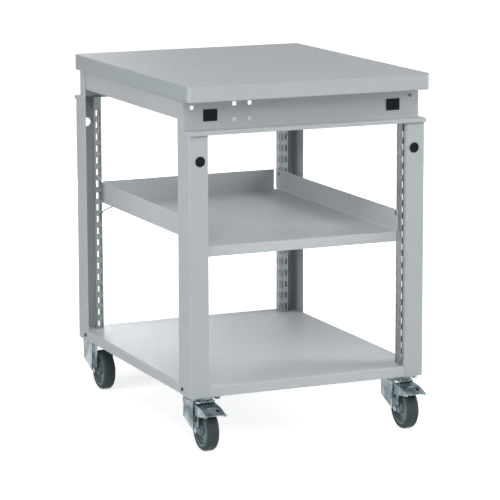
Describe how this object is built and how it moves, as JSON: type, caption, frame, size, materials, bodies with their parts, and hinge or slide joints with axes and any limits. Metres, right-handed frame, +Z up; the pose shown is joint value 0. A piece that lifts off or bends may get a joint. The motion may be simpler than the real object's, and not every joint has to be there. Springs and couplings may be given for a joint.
{
  "type": "single-shelf utility cart",
  "caption": "Light grey steel workshop cart with a thick worktop, an adjustable shelf tray, a base tray and swivel casters with foot brakes at the front.",
  "frame": {"origin": "on the floor, under the centre of the cart's overall box", "axes": "+Z up, +X to the right and +Y to the back, seen from the front where the beam's sockets and the brake pedals are"},
  "size_m": [0.615, 0.835, 0.854],
  "materials": {
    "painted_sheet": "light grey powder coat, satin",
    "worktop_laminate": "board faced in light grey laminate, satin",
    "galvanised_sheet": "galvanised sheet",
    "zinc_steel": "bright zinc plate",
    "dark_steel": "black oxide",
    "black_plastic": "black moulded plastic",
    "lead_sleeve": "black sleeve",
    "tyre_rubber": "dark grey solid rubber",
    "shoe_rubber": "black rubber pad",
    "hub_plastic": "blue-grey moulded plastic",
    "bearing_balls": "polished steel"
  },
  "bodies": {
    "frame": {"worktop": "worktop_laminate", "worktop_screws": "zinc_steel", "front_beam": "painted_sheet", "rear_beam": "painted_sheet", "left_side_beam": "painted_sheet", "right_side_beam": "painted_sheet", "port_covers": "black_plastic", "upright_front_left": "painted_sheet", "upright_front_right": "painted_sheet", "upright_rear_left": "painted_sheet", "upright_rear_right": "painted_sheet", "upright_plugs": "black_plastic", "slotted_rail_front_left": "galvanised_sheet", "slotted_rail_front_right": "galvanised_sheet", "slotted_rail_rear_left": "galvanised_sheet", "slotted_rail_rear_right": "galvanised_sheet", "rail_screws": "zinc_steel", "shelf_tray": "painted_sheet", "shelf_screws": "zinc_steel", "earth_lead": "lead_sleeve", "base_tray": "painted_sheet", "base_screws": "dark_steel", "front_caster_bearer": "painted_sheet", "rear_caster_bearer": "painted_sheet", "caster_bolts": "zinc_steel", "caster_plate_front_left": "zinc_steel", "caster_plate_front_right": "zinc_steel", "caster_plate_rear_left": "zinc_steel", "caster_plate_rear_right": "zinc_steel", "swivel_pin_front_left": "zinc_steel", "swivel_pin_front_right": "zinc_steel", "swivel_pin_rear_left": "zinc_steel", "swivel_pin_rear_right": "zinc_steel"},
    "fork_front_left": {"ball_race_front_left": "bearing_balls", "fork_front_left": "zinc_steel", "axle_front_left": "zinc_steel", "brake_pin_front_left": "zinc_steel"},
    "wheel_front_left": {"wheel_hub_front_left": "hub_plastic", "tyre_front_left": "tyre_rubber"},
    "pedal_front_left": {"brake_pedal_front_left": "zinc_steel", "brake_shoe_front_left": "shoe_rubber"},
    "fork_front_right": {"ball_race_front_right": "bearing_balls", "fork_front_right": "zinc_steel", "axle_front_right": "zinc_steel", "brake_pin_front_right": "zinc_steel"},
    "wheel_front_right": {"wheel_hub_front_right": "hub_plastic", "tyre_front_right": "tyre_rubber"},
    "pedal_front_right": {"brake_pedal_front_right": "zinc_steel", "brake_shoe_front_right": "shoe_rubber"},
    "fork_rear_left": {"ball_race_rear_left": "bearing_balls", "fork_rear_left": "zinc_steel", "axle_rear_left": "zinc_steel"},
    "wheel_rear_left": {"wheel_hub_rear_left": "hub_plastic", "tyre_rear_left": "tyre_rubber"},
    "fork_rear_right": {"ball_race_rear_right": "bearing_balls", "fork_rear_right": "zinc_steel", "axle_rear_right": "zinc_steel"},
    "wheel_rear_right": {"wheel_hub_rear_right": "hub_plastic", "tyre_rear_right": "tyre_rubber"}
  },
  "joints": [
    {"name": "swivel_front_left", "type": "hinge", "parent": "frame", "child": "fork_front_left", "pos_m": [-0.258, -0.3115, 0.115], "axis": [0, 0, 1], "continuous": true},
    {"name": "roll_front_left", "type": "hinge", "parent": "fork_front_left", "child": "wheel_front_left", "pos_m": [-0.258, -0.3395, 0.05], "axis": [1, 0, 0], "continuous": true},
    {"name": "brake_front_left", "type": "hinge", "parent": "fork_front_left", "child": "pedal_front_left", "pos_m": [-0.258, -0.3395, 0.098], "axis": [1, 0, 0], "range_deg": [0, 12]},
    {"name": "swivel_front_right", "type": "hinge", "parent": "frame", "child": "fork_front_right", "pos_m": [0.258, -0.3115, 0.115], "axis": [0, 0, 1], "continuous": true},
    {"name": "roll_front_right", "type": "hinge", "parent": "fork_front_right", "child": "wheel_front_right", "pos_m": [0.258, -0.3395, 0.05], "axis": [1, 0, 0], "continuous": true},
    {"name": "brake_front_right", "type": "hinge", "parent": "fork_front_right", "child": "pedal_front_right", "pos_m": [0.258, -0.3395, 0.098], "axis": [1, 0, 0], "range_deg": [0, 12]},
    {"name": "swivel_rear_left", "type": "hinge", "parent": "frame", "child": "fork_rear_left", "pos_m": [-0.258, 0.3635, 0.115], "axis": [0, 0, 1], "continuous": true},
    {"name": "roll_rear_left", "type": "hinge", "parent": "fork_rear_left", "child": "wheel_rear_left", "pos_m": [-0.258, 0.3355, 0.05], "axis": [1, 0, 0], "continuous": true},
    {"name": "swivel_rear_right", "type": "hinge", "parent": "frame", "child": "fork_rear_right", "pos_m": [0.258, 0.3635, 0.115], "axis": [0, 0, 1], "continuous": true},
    {"name": "roll_rear_right", "type": "hinge", "parent": "fork_rear_right", "child": "wheel_rear_right", "pos_m": [0.258, 0.3355, 0.05], "axis": [1, 0, 0], "continuous": true}
  ]
}
